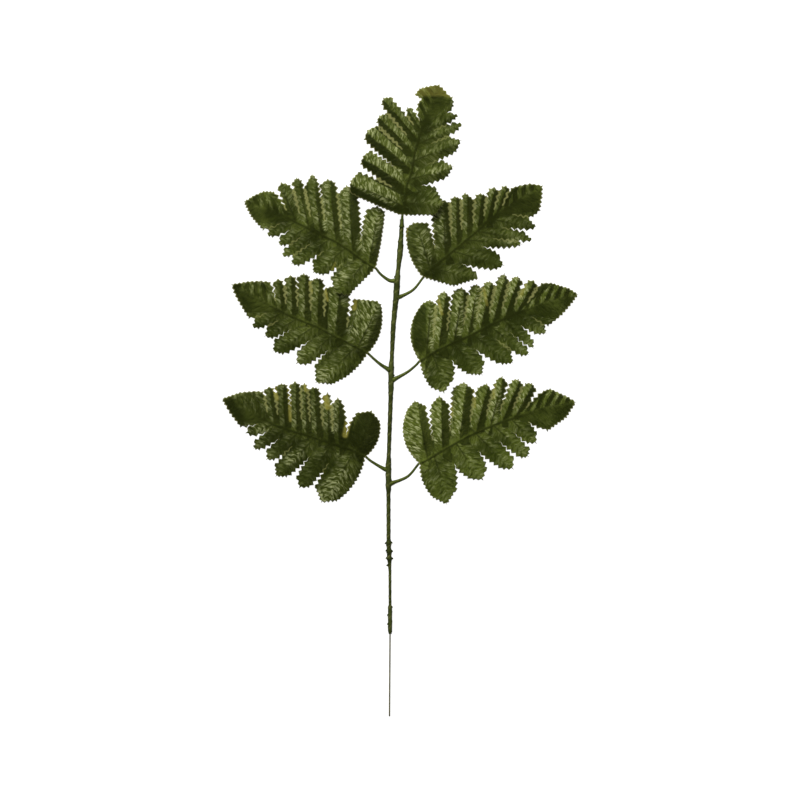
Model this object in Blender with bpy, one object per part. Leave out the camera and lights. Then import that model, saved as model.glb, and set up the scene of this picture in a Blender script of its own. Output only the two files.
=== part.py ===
# An artificial leatherleaf fern frond: seven pressed fabric leaves on moulded ribs, bound to one wire.
# The frond lies on z = 0 with its tip towards +Y and its cut wire towards -Y.
# Lengths are in millimetres here, and MM turns them into metres where a mesh or a curve is made.

import math
from collections import namedtuple

import bmesh
import bpy
from mathutils import Vector
from mathutils.geometry import delaunay_2d_cdt, intersect_point_line

MM = 0.001
GAP = 0.3

# Leaf blades
BLADE = 0.7
REACH = 0.66
HIGH_SLIT_DEPTH = 0.3
LOW_SLIT_DEPTH = 0.42
SLIT_LEAST = 0.7
TOOTH_PITCH = 6.5
TOOTH_DEPTH = 2.2
MARGIN_PITCH = 6.5
MARGIN_DEPTH = 1.2
PLEAT = 2.2
PLEAT_START = 12.0
ARCH = 1.6
TIP_HEIGHT = 0.75

# Ribs and stalks
RIB_RADIUS = 1.1
RIB_END_RADIUS = 0.5
RIB_SPAN = 0.62
SIDE_RIB_RADIUS = 0.45
SIDE_RIB_SPAN = 0.4
SIDE_RIBS_IN_A_ROW = 3

# Wire and wrap
WIRE_RADIUS = 0.55
WIRE_FOOT = (-9.3, -280.0, 2.75)
WIRE_TOP_Y = 128.0
BORE_RADIUS = WIRE_RADIUS + GAP
BORE_TOP_Y = WIRE_TOP_Y + 1.0
WRAP_HEIGHT = 2.75
WRAP_LIFT_FROM_Y = 30.0
WRAP_TOP_HEIGHT = 7.6

Lobe = namedtuple("Lobe", "x y width point lean")
Leaf = namedtuple("Leaf", "name base_height tilt stalk midrib high low high_end low_end high_belly low_belly")


def lobe(x, y, width, point=3.0, lean=0.0):
    """A lobe by its tip, its width, how far its shoulders lie behind the tip, and the tip's lean to the leaf's end."""
    return Lobe(x, y, width, point, lean)


# Stem
# Each row is the wrap's centre X, its Y and its radius, from the foot to the top.
WRAP_ROWS = [
    (-8.8, -207, 1.3), (-8.8, -204, 1.9), (-8.8, -184, 1.9), (-8.8, -181, 1.25), (-8.9, -152, 1.25),
    (-9.3, -143, 1.8), (-9.4, -140, 2.75), (-9.5, -137, 1.8), (-9.6, -133, 2.6), (-9.8, -130, 1.8),
    (-10.0, -126, 2.7), (-10.1, -123, 1.8), (-10.2, -84, 1.8), (-10.2, -76, 2.5), (-10.2, -58, 2.5),
    (-9.9, -48, 1.8), (-8.3, 0, 2.0), (-7.9, 14, 2.5), (-7.8, 28, 2.5), (-7.2, 38, 1.8),
    (-5.9, 66, 2.2), (-4.2, 84, 2.4), (-3.3, 91, 2.7), (-2.6, 105, 2.7), (-1.6, 115, 1.9),
    (0.2, 132, 2.6), (1.2, 148, 1.9), (1.8, 160, 1.7),
]

# Leaves
# The high row of a leaf faces the frond's tip, the low row its foot, and each row runs out from the leaf's base.
# A stalk is its points in plan, from the stem to the leaf.
LEAVES = [
    Leaf(
        "terminal", 10.6, 0.0, [(1.6, 152.5), (1.8, 157.0)],
        [(2, 162), (4, 174), (5, 188), (10, 202), (12, 216), (16, 230), (21, 247), (30, 266), (35, 280)],
        [lobe(-44, 193, 20), lobe(-33, 215, 15, 2), lobe(-29, 238, 17), lobe(-18.5, 251, 12.5, 2),
         lobe(-15, 267, 11), lobe(6, 259, 5, 2)],
        [lobe(39, 174, 24), lobe(48, 206, 15, 5), lobe(55, 229.5, 16, 6), lobe(56.5, 245, 10.5, 5),
         lobe(53, 252.5, 8, 4)],
        [(15, 262), (19, 267), (13, 271), (17, 276), (23, 278)],
        [(48, 260), (48, 264), (47, 269), (44, 270), (41, 274)],
        1.0, 0.0,
    ),
    Leaf(
        "upper_left", 7.2, 0.085, [(-2.6, 105.2), (-9.5, 105.7), (-16.8, 110.9)],
        [(-21, 116), (-32, 123), (-44, 132), (-56, 140), (-75, 149), (-102, 163), (-139, 176)],
        [lobe(-20, 172, 16, 4), lobe(-47.5, 190.5, 18, 7), lobe(-64, 196, 15, 4), lobe(-78, 201, 12.5, 8, -0.3),
         lobe(-92, 197.5, 9, 3.5), lobe(-105.5, 193, 11, 4, 0.3)],
        [lobe(-58, 95, 18), lobe(-79.5, 114, 13), lobe(-96.5, 119.5, 11), lobe(-105, 126, 9, 4),
         lobe(-108, 136.5, 9), lobe(-118.5, 145, 8)],
        [(-111.5, 185), (-121, 185.6), (-131, 181)],
        [(-121.5, 149.5), (-132.5, 162), (-137, 170.5)],
        1.0, 0.0,
    ),
    Leaf(
        "upper_right", 7.2, 0.085, [(-3.3, 91.0), (0.6, 91.4), (11.8, 97.5)],
        [(20, 107.6), (26, 115), (43, 129), (63.5, 146), (79, 159.5), (94, 170), (108, 178.5), (127, 190.3)],
        [lobe(11.5, 157, 19, 3, -0.2), lobe(36, 178, 17), lobe(48.6, 180.5, 11, 2), lobe(57.5, 184, 12, 5, -0.4),
         lobe(71.5, 183, 11, 1.5), lobe(83.5, 188.5, 10, 2), lobe(94, 190, 7.5, 1.5)],
        [lobe(71, 107, 15, 10, 0.7), lobe(92.5, 118.5, 11.5, 4), lobe(108, 137.5, 4, 1),
         lobe(118.5, 141, 8, 5, -0.4), lobe(122, 152.5, 10, 5, -0.4)],
        [(98, 188), (106, 190.5), (115, 192.3)],
        [(118, 161.5), (124.5, 167.5), (126.5, 179)],
        5.0, 0.0,
    ),
    Leaf(
        "middle_left", 6.6, 0.085, [(-7.7, 25.6), (-17.1, 31.4), (-24.0, 37.2)],
        [(-28, 41), (-39, 47.5), (-56, 56), (-73, 65), (-98, 75), (-124, 89), (-150, 103)],
        [lobe(-20, 88, 24, 4, -0.6), lobe(-55, 102, 21), lobe(-73.5, 108.5, 12, 2), lobe(-85, 112.5, 12),
         lobe(-97, 110.5, 10, 2), lobe(-108, 107.5, 9, 2.5)],
        [lobe(-75, 14.5, 22, 6), lobe(-92, 31.5, 13, 4), lobe(-113, 42.5, 15, 4), lobe(-120.5, 55.5, 11, 4),
         lobe(-132, 64, 9, 4)],
        [(-114.5, 105), (-123, 106), (-135, 105.5)],
        [(-134, 71.5), (-142, 84), (-148, 95)],
        6.0, 4.0,
    ),
    Leaf(
        "middle_right", 6.6, 0.085, [(-7.9, 16.8), (6.0, 24.3), (13.5, 30.2)],
        [(17, 34), (27.5, 41), (40, 48), (57, 55), (71, 62), (83, 68), (101, 76.5), (128, 86), (159, 93.5)],
        [lobe(26.5, 89, 12), lobe(39, 97, 12, 5), lobe(54.5, 100, 14, 4), lobe(68, 103, 11),
         lobe(79.5, 105.5, 11, 2.5), lobe(92.5, 112.5, 10.5, 5), lobe(104.5, 110, 10), lobe(118.5, 106, 10, 2)],
        [lobe(39, 5.3, 20, 5), lobe(73, 21.5, 14, 4), lobe(100.5, 32, 14, 5), lobe(114.5, 39.5, 11),
         lobe(118.5, 44.8, 8), lobe(130, 58.5, 9)],
        [(125, 104), (134, 104.3), (150, 99.5)],
        [(131, 64.5), (144, 75), (153.5, 86)],
        10.0, 2.0,
    ),
    Leaf(
        "lower_left", 6.2, 0.085, [(-10.0, -61.5), (-14.0, -61.0), (-25.0, -54.5)],
        [(-30, -50.4), (-44, -43), (-62, -37.7), (-77, -32.4), (-89, -29), (-110, -22), (-133, -10), (-159, 1.3)],
        [lobe(-25, -9, 21, 6), lobe(-55, 2.4, 10, 4, -0.3), lobe(-64, 7, 8, 3), lobe(-77, 12, 11, 2),
         lobe(-84.5, 15.5, 7, 2), lobe(-93, 17, 9), lobe(-105, 15, 11, 2), lobe(-116, 12, 9, 2)],
        [lobe(-70, -91, 23, 5), lobe(-89, -78, 14), lobe(-110, -68, 15, 4), lobe(-118.5, -53, 11),
         lobe(-130.5, -43.5, 9), lobe(-137, -29.5, 8, 2)],
        [(-121, 8), (-129.5, 8.3), (-142, 7.2)],
        [(-141.5, -24.5), (-151.5, -12), (-156, -4)],
        5.0, 5.0,
    ),
    Leaf(
        "lower_right", 6.2, 0.085, [(-10.2, -75.0), (-6.0, -73.2), (7.0, -67.5)],
        [(16.6, -56.3), (26.5, -51), (39, -43.3), (58, -32.7), (73.5, -25.6), (89, -19.4), (110, -12.4),
         (132.5, -6.2), (157, -1.8)],
        [lobe(13, 0, 16, 6), lobe(34.5, 4.4, 16, 8), lobe(56.5, 16.4, 19, 6), lobe(77, 15.3, 15, 6),
         lobe(90.5, 21.7, 12, 5), lobe(105, 19, 11), lobe(117, 15.5, 11)],
        [lobe(41.5, -93, 21, 6), lobe(73.5, -71, 14), lobe(100.5, -61.5, 13, 4), lobe(114, -50.5, 11, 2),
         lobe(121, -39, 12, 4)],
        [(127, 8.5), (133, 10.6), (150, 2.8)],
        [(126, -26), (130.5, -28.3), (148, -16)],
        9.0, 3.5,
    ),
]


# Scene and materials
def clear_scene():
    for thing in list(bpy.data.objects):
        bpy.data.objects.remove(thing)


def principled(name, colour, roughness, metallic=0.0):
    material = bpy.data.materials.new(name)
    material.use_nodes = True
    shader = material.node_tree.nodes["Principled BSDF"]
    shader.inputs["Base Color"].default_value = (*colour, 1.0)
    shader.inputs["Roughness"].default_value = roughness
    shader.inputs["Metallic"].default_value = metallic
    return material


# Lines in plan
def smooth(value):
    value = min(1.0, max(0.0, value))
    return value * value * (3.0 - 2.0 * value)


def lengths_along(points):
    travelled = [0.0]
    for first, second in zip(points, points[1:]):
        travelled.append(travelled[-1] + (second - first).length)
    return travelled


def point_at(points, fraction):
    """The point at this fraction of a polyline's length."""
    travelled = lengths_along(points)
    wanted = fraction * travelled[-1]
    for index in range(len(points) - 1):
        if wanted <= travelled[index + 1] or index == len(points) - 2:
            part = (wanted - travelled[index]) / (travelled[index + 1] - travelled[index])
            return points[index].lerp(points[index + 1], part)
    return points[-1]


def nearest_on(point, polyline):
    """The distance from a polyline, and the fraction of its length and the side where the nearest point lies."""
    travelled = lengths_along(polyline)
    best = (math.inf, 0.0, 0.0)
    for index, (first, second) in enumerate(zip(polyline, polyline[1:])):
        foot, part = intersect_point_line(point, first, second)
        part = min(1.0, max(0.0, part))
        foot = first.lerp(second, part)
        away = point - foot
        if away.length < best[0]:
            run = second - first
            side = math.copysign(1.0, run.x * away.y - run.y * away.x)
            reached = (travelled[index] + part * (travelled[index + 1] - travelled[index])) / travelled[-1]
            best = (away.length, reached, side)
    return best


def bezier(start, handle, end, steps=16):
    line = []
    for step in range(steps + 1):
        t = step / steps
        line.append(start * (1 - t) ** 2 + handle * (2 * t * (1 - t)) + end * t ** 2)
    return line


def toothed(line, pitch, depth, inward, centred):
    """A line from root to shoulder cut in pinked teeth; centred teeth swing both ways, others only inward."""
    run = lengths_along(line)[-1]
    count = max(1, round(run / pitch))
    cut = [line[0]]
    for step in range(1, 2 * count):
        here = point_at(line, step / (2 * count))
        if centred:
            swing = 0.5 * depth * (1 if step % 2 else -1) * min(1.0, step / 3)
        else:
            swing = depth if step % 2 else 0.0
        cut.append(here + inward * swing)
    cut.append(line[-1])
    return cut


# Leaf plan
def row_plan(midrib, row, end_points, belly, slit_depth):
    """One row of lobes: its flanks, ends, ridges and closed slit roots, all in plan."""
    width_sum = [0.0]
    for item in row:
        width_sum.append(width_sum[-1] + item.width + 2.0)
    roots = [REACH * total / width_sum[-1] for total in width_sum]
    lobes = []
    for index, item in enumerate(row):
        root = point_at(midrib, (roots[index] + roots[index + 1]) / 2)
        tip = Vector((item.x, item.y))
        axis = (tip - root).normalized()
        outward = Vector((-axis.y, axis.x))
        if outward.dot(midrib[-1] - midrib[0]) < 0:
            outward = -outward
        half = item.width / 2
        far = tip - axis * item.point * (1 - item.lean) + outward * half * (1 - item.lean)
        near = tip - axis * item.point * (1 + item.lean) - outward * half * (1 + item.lean)
        lobes.append({"root": root, "tip": tip, "outward": outward, "near": near, "far": far})
    end_line = [Vector(point) for point in end_points]
    for index, item in enumerate(lobes):
        last = index == len(lobes) - 1
        following = end_line[0] if last else lobes[index + 1]["near"]
        valley = point_at(midrib, roots[index + 1])
        middle = (item["far"] + following) / 2
        course = (middle - valley).normalized()
        across = Vector((-course.y, course.x))
        if across.dot(midrib[-1] - midrib[0]) < 0:
            across = -across
        lack = SLIT_LEAST - (following - item["far"]).dot(across)
        if lack > 0:
            item["far"] = item["far"] - across * lack / 2
            if last:
                end_line[0] = end_line[0] + across * lack / 2
            else:
                lobes[index + 1]["near"] = lobes[index + 1]["near"] + across * lack / 2
        item["valley"] = valley
        item["sinus"] = valley + (middle - valley) * slit_depth
        item["handle"] = item["sinus"] + (middle - item["sinus"]) * 0.5
        item["across"] = across
    return {"lobes": lobes, "end": end_line, "roots": roots, "belly": belly}


def lobe_end(first, last, inside):
    """The toothed edge between a shoulder and a tip."""
    edge = last - first
    inward = Vector((-edge.y, edge.x)).normalized()
    if inward.dot(inside - first) < 0:
        inward = -inward
    return toothed([first, last], MARGIN_PITCH, MARGIN_DEPTH, inward, False)


def row_outline(midrib, plan):
    """The row's toothed outline from the leaf's base to its tip, with the lines that lie low."""
    outline = []
    low_lines = []
    lobes = plan["lobes"]
    for index, item in enumerate(lobes):
        if index == 0:
            bulge = (midrib[0] + item["near"]) / 2 - item["outward"] * plan["belly"] * 2
            near_flank = bezier(midrib[0], bulge, item["near"])
            near_edge = toothed(near_flank, MARGIN_PITCH, MARGIN_DEPTH, item["outward"], False)
        else:
            before = lobes[index - 1]
            near_flank = bezier(before["sinus"], before["handle"], item["near"])
            near_edge = toothed(near_flank, TOOTH_PITCH, TOOTH_DEPTH, before["across"], True)
        far_flank = bezier(item["sinus"], item["handle"], item["far"])
        far_edge = toothed(far_flank, TOOTH_PITCH, TOOTH_DEPTH, item["across"], True)
        outline += near_edge[:-1]
        outline += lobe_end(item["near"], item["tip"], item["root"])[:-1]
        outline += lobe_end(item["tip"], item["far"], item["root"])[:-1]
        outline += reversed(far_edge[1:])
        low_lines += [near_flank, far_flank, [item["valley"], item["sinus"]]]
    last = lobes[-1]
    start = plan["end"][0]
    flank = bezier(last["sinus"], last["handle"], start)
    outline += toothed(flank, TOOTH_PITCH, TOOTH_DEPTH, last["across"], True)[:-1]
    margin = plan["end"] + [midrib[-1]]
    inside = point_at(midrib, REACH)
    for first, second in zip(margin, margin[1:]):
        outline += lobe_end(first, second, inside)[:-1]
    low_lines.append(flank + margin[1:])
    return outline, low_lines


def leaf_plan(leaf):
    midrib = [Vector(point) for point in leaf.midrib]
    rows = [
        row_plan(midrib, leaf.high, leaf.high_end, leaf.high_belly, HIGH_SLIT_DEPTH),
        row_plan(midrib, leaf.low, leaf.low_end, leaf.low_belly, LOW_SLIT_DEPTH),
    ]
    high_outline, high_low_lines = row_outline(midrib, rows[0])
    low_outline, low_low_lines = row_outline(midrib, rows[1])
    outline = high_outline + [midrib[-1]] + list(reversed(low_outline[1:]))
    ridges = []
    for row in rows:
        ridges.append([[item["root"].lerp(item["tip"], part) for part in (0, 0.16, 0.4, 0.7, 1)]
                       for item in row["lobes"]])
    stations = {0.0, 0.84, 1.0}
    for row in rows:
        for first, second in zip(row["roots"], row["roots"][1:]):
            stations |= {(first + second) / 2, second}
    spine = [point_at(midrib, station) for station in sorted(stations)]
    foot_side = nearest_on(rows[1]["lobes"][0]["tip"], midrib)[2]
    return {
        "leaf": leaf, "midrib": midrib, "rows": rows, "outline": outline, "ridges": ridges,
        "low_lines": high_low_lines + low_low_lines, "spine": spine, "foot_side": foot_side,
    }


# Heights
def midrib_height(leaf, along):
    return TIP_HEIGHT + (leaf.base_height - TIP_HEIGHT) * (1 - along ** ARCH)


def blade_height(plan, point):
    """The blade's upper face: a tilted arch, pleated to a crest along each lobe, never below the surface."""
    leaf = plan["leaf"]
    away, along, side = nearest_on(point, plan["midrib"])
    base = midrib_height(leaf, along) + leaf.tilt * away * side * plan["foot_side"]
    crest_lines = [line for row in plan["ridges"] for line in row]
    to_crest = min(nearest_on(point, line)[0] for line in crest_lines)
    to_low = min(nearest_on(point, line)[0] for line in plan["low_lines"])
    crest = to_low / (to_low + to_crest) if to_low + to_crest > 0 else 1.0
    rise = PLEAT * crest * smooth(away / PLEAT_START) * (1 - 0.5 * smooth((away - 25) / 30))
    if along > REACH + 0.05 and away < PLEAT_START:
        rise = 0.0
    return max(BLADE, base + rise)


# Leaf blades
def add_leaf(plan, material):
    """One die-cut blade: its outline and creases triangulated in plan, lifted, and thickened straight down."""
    corners = list(plan["outline"])
    edges = [(index, (index + 1) % len(corners)) for index in range(len(corners))]
    creases = [plan["spine"]] + [line for row in plan["ridges"] for line in row]
    creases += [[item["valley"], item["sinus"]] for row in plan["rows"] for item in row["lobes"]]
    for crease in creases:
        start = len(corners)
        corners += crease
        edges += [(start + step, start + step + 1) for step in range(len(crease) - 1)]
    flat = delaunay_2d_cdt(corners, edges, [], 1, 0.02)
    bm = bmesh.new()
    verts = [bm.verts.new((*(point * MM), blade_height(plan, point) * MM)) for point in flat[0]]
    for face in flat[2]:
        bm.faces.new([verts[corner] for corner in face])
    loose = [vert for vert in bm.verts if not vert.link_faces]
    bmesh.ops.delete(bm, geom=loose, context="VERTS")
    raised = bmesh.ops.extrude_face_region(bm, geom=bm.faces[:], use_keep_orig=True)
    lower = [item for item in raised["geom"] if isinstance(item, bmesh.types.BMVert)]
    bmesh.ops.translate(bm, verts=lower, vec=(0, 0, -BLADE * MM))
    bmesh.ops.recalc_face_normals(bm, faces=bm.faces[:])
    mesh = bpy.data.meshes.new("leaf_" + plan["leaf"].name)
    bm.to_mesh(mesh)
    bm.free()
    mesh.materials.append(material)
    leaf = bpy.data.objects.new(mesh.name, mesh)
    bpy.context.scene.collection.objects.link(leaf)
    return leaf


# Tubes
def add_tube(name, points, radii, sides):
    """A closed tube through these points, as a mesh, with its own radius at each."""
    data = bpy.data.curves.new(name, "CURVE")
    data.dimensions = "3D"
    data.bevel_depth = MM
    data.bevel_resolution = sides // 2 - 2
    data.use_fill_caps = True
    spline = data.splines.new("POLY")
    spline.points.add(len(points) - 1)
    for place, point, radius in zip(spline.points, points, radii):
        place.co = (*(Vector(point) * MM), 1.0)
        place.radius = radius
    guide = bpy.data.objects.new(name + "_path", data)
    bpy.context.scene.collection.objects.link(guide)
    mesh = bpy.data.meshes.new_from_object(guide.evaluated_get(bpy.context.evaluated_depsgraph_get()))
    bpy.data.objects.remove(guide)
    bpy.data.curves.remove(data)
    bm = bmesh.new()
    bm.from_mesh(mesh)
    bmesh.ops.remove_doubles(bm, verts=bm.verts[:], dist=1e-6)
    bmesh.ops.triangulate(bm, faces=bm.faces[:])
    bmesh.ops.recalc_face_normals(bm, faces=bm.faces[:])
    bm.to_mesh(mesh)
    bm.free()
    mesh.name = name
    tube = bpy.data.objects.new(name, mesh)
    bpy.context.scene.collection.objects.link(tube)
    return tube


def combine(target, others, operation):
    """Unions or cuts all of these objects in one Boolean, applies it and removes them."""
    group = bpy.data.collections.new(target.name + "_operands")
    bpy.context.scene.collection.children.link(group)
    for other in others:
        group.objects.link(other)
    boolean = target.modifiers.new("combine", "BOOLEAN")
    boolean.operation = operation
    boolean.solver = "EXACT"
    boolean.operand_type = "COLLECTION"
    boolean.collection = group
    bpy.context.view_layer.update()
    mesh = bpy.data.meshes.new_from_object(target.evaluated_get(bpy.context.evaluated_depsgraph_get()))
    target.modifiers.remove(boolean)
    target.data = mesh
    for other in others:
        bpy.data.objects.remove(other)
    bpy.data.collections.remove(group)


# Stem wire and wrap
def wrap_height(y):
    return WRAP_HEIGHT + (WRAP_TOP_HEIGHT - WRAP_HEIGHT) * smooth((y - WRAP_LIFT_FROM_Y) / 130.0)


def wrap_centre(y):
    """The wrap's centre where it crosses this Y."""
    for (x0, y0, _), (x1, y1, _) in zip(WRAP_ROWS, WRAP_ROWS[1:]):
        if y <= y1:
            return Vector((x0 + (x1 - x0) * (y - y0) / (y1 - y0), y, wrap_height(y)))
    return Vector((WRAP_ROWS[-1][0], y, wrap_height(y)))


def wire_points(top_y):
    inner = [wrap_centre(row[1]) for row in WRAP_ROWS if row[1] < top_y - 2]
    return [Vector(WIRE_FOOT)] + inner + [wrap_centre(top_y)]


def add_wire(material):
    points = wire_points(WIRE_TOP_Y)
    wire = add_tube("stem_wire", points, [WIRE_RADIUS] * len(points), 8)
    wire.data.materials.append(material)
    return wire


def add_wrap(stalk_cutters, material):
    centres = [wrap_centre(row[1]) for row in WRAP_ROWS]
    wrap = add_tube("stem_wrap", centres, [row[2] for row in WRAP_ROWS], 10)
    bore_points = wire_points(BORE_TOP_Y)
    bore = add_tube("wire_bore", bore_points, [BORE_RADIUS] * len(bore_points), 8)
    combine(wrap, [bore] + stalk_cutters, "DIFFERENCE")
    wrap.data.materials.clear()
    wrap.data.materials.append(material)
    return wrap


# Ribs
def rib_radius(along):
    return RIB_RADIUS + (RIB_END_RADIUS - RIB_RADIUS) * min(1.0, along / RIB_SPAN)


def under_blade(plan, point, radius):
    return Vector((point.x, point.y, blade_height(plan, point) - BLADE - GAP - radius))


def stalk_points(plan):
    """The stalk's centre line, from just outside the wire to the leaf's base."""
    leaf = plan["leaf"]
    flat = [Vector(point) for point in leaf.stalk]
    start = wrap_centre(flat[0].y)
    end = under_blade(plan, plan["midrib"][0], RIB_RADIUS)
    if leaf.name == "terminal":
        root = start
    else:
        root = start + (Vector((*flat[1], start.z)) - start).normalized() * (BORE_RADIUS + 2 * GAP)
    points = [root]
    whole = lengths_along(flat + [plan["midrib"][0]])
    for point, travelled in zip(flat[1:], whole[1:]):
        points.append(Vector((point.x, point.y, start.z + (end.z - start.z) * smooth(travelled / whole[-1]))))
    return points


def add_rib(plan, material):
    """A stalk and midrib under the blade, with side ribs fused on under the crests of the first lobes."""
    name = "rib_" + plan["leaf"].name
    points = stalk_points(plan)
    radii = [RIB_RADIUS] * len(points)
    for point in plan["spine"][::2]:
        along = nearest_on(point, plan["midrib"])[1]
        if along <= RIB_SPAN:
            radii.append(rib_radius(along))
            points.append(under_blade(plan, point, radii[-1]))
    rib = add_tube(name, points, radii, 6)
    side_ribs = []
    for row in plan["ridges"]:
        for ridge in row[:SIDE_RIBS_IN_A_ROW]:
            places = [ridge[0], ridge[1], ridge[0].lerp(ridge[4], SIDE_RIB_SPAN)]
            course = [under_blade(plan, place, SIDE_RIB_RADIUS) for place in places]
            course[0].z -= 0.2
            side_ribs.append(add_tube("side_rib", course, [SIDE_RIB_RADIUS, SIDE_RIB_RADIUS, 0.3], 4))
    combine(rib, side_ribs, "UNION")
    rib.data.materials.clear()
    rib.data.materials.append(material)
    return rib


def stalk_cutter(plan):
    """The stalk with its clearance, as it enters the wrap."""
    points = stalk_points(plan)
    deeper = points[0] - (points[1] - points[0]).normalized() * GAP
    route = [deeper] + points[1:] + [under_blade(plan, plan["midrib"][0], RIB_RADIUS)]
    return add_tube("socket", route, [RIB_RADIUS + GAP] * len(route), 8)


def build():
    clear_scene()
    steel = principled("steel_wire", (0.32, 0.33, 0.33), 0.35, 1.0)
    tape = principled("green_tape", (0.035, 0.055, 0.02), 0.6)
    plastic = principled("green_plastic", (0.04, 0.065, 0.022), 0.45)
    fabric = principled("printed_fabric", (0.09, 0.13, 0.035), 0.5)
    plans = [leaf_plan(leaf) for leaf in LEAVES]
    for plan in plans:
        add_leaf(plan, fabric)
        add_rib(plan, plastic)
    add_wire(steel)
    add_wrap([stalk_cutter(plan) for plan in plans], tape)


build()
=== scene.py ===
import math

import bmesh
import bpy
import numpy as np
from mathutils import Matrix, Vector, noise
from mathutils.geometry import delaunay_2d_cdt


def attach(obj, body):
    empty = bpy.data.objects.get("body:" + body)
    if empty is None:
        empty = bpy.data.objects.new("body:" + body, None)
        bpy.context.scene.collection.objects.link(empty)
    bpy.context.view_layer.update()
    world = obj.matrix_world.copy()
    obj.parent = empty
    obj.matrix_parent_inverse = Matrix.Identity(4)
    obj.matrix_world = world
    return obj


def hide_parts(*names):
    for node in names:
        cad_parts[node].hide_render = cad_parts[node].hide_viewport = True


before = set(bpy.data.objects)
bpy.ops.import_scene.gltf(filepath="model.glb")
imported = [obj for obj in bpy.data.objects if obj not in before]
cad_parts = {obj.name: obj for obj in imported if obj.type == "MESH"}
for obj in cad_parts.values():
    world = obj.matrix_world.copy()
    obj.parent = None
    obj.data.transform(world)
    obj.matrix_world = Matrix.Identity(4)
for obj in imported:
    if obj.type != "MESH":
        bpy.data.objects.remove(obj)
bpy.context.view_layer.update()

mm = 0.001  # sizes below are in millimetres


# Meshes and objects
def meshFrom(bm, name):
    mesh = bpy.data.meshes.new(name)
    bm.to_mesh(mesh)
    bm.free()
    return mesh


def addToScene(name, data):
    made = bpy.data.objects.new(name, data)
    bpy.context.scene.collection.objects.link(made)
    return made


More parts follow.
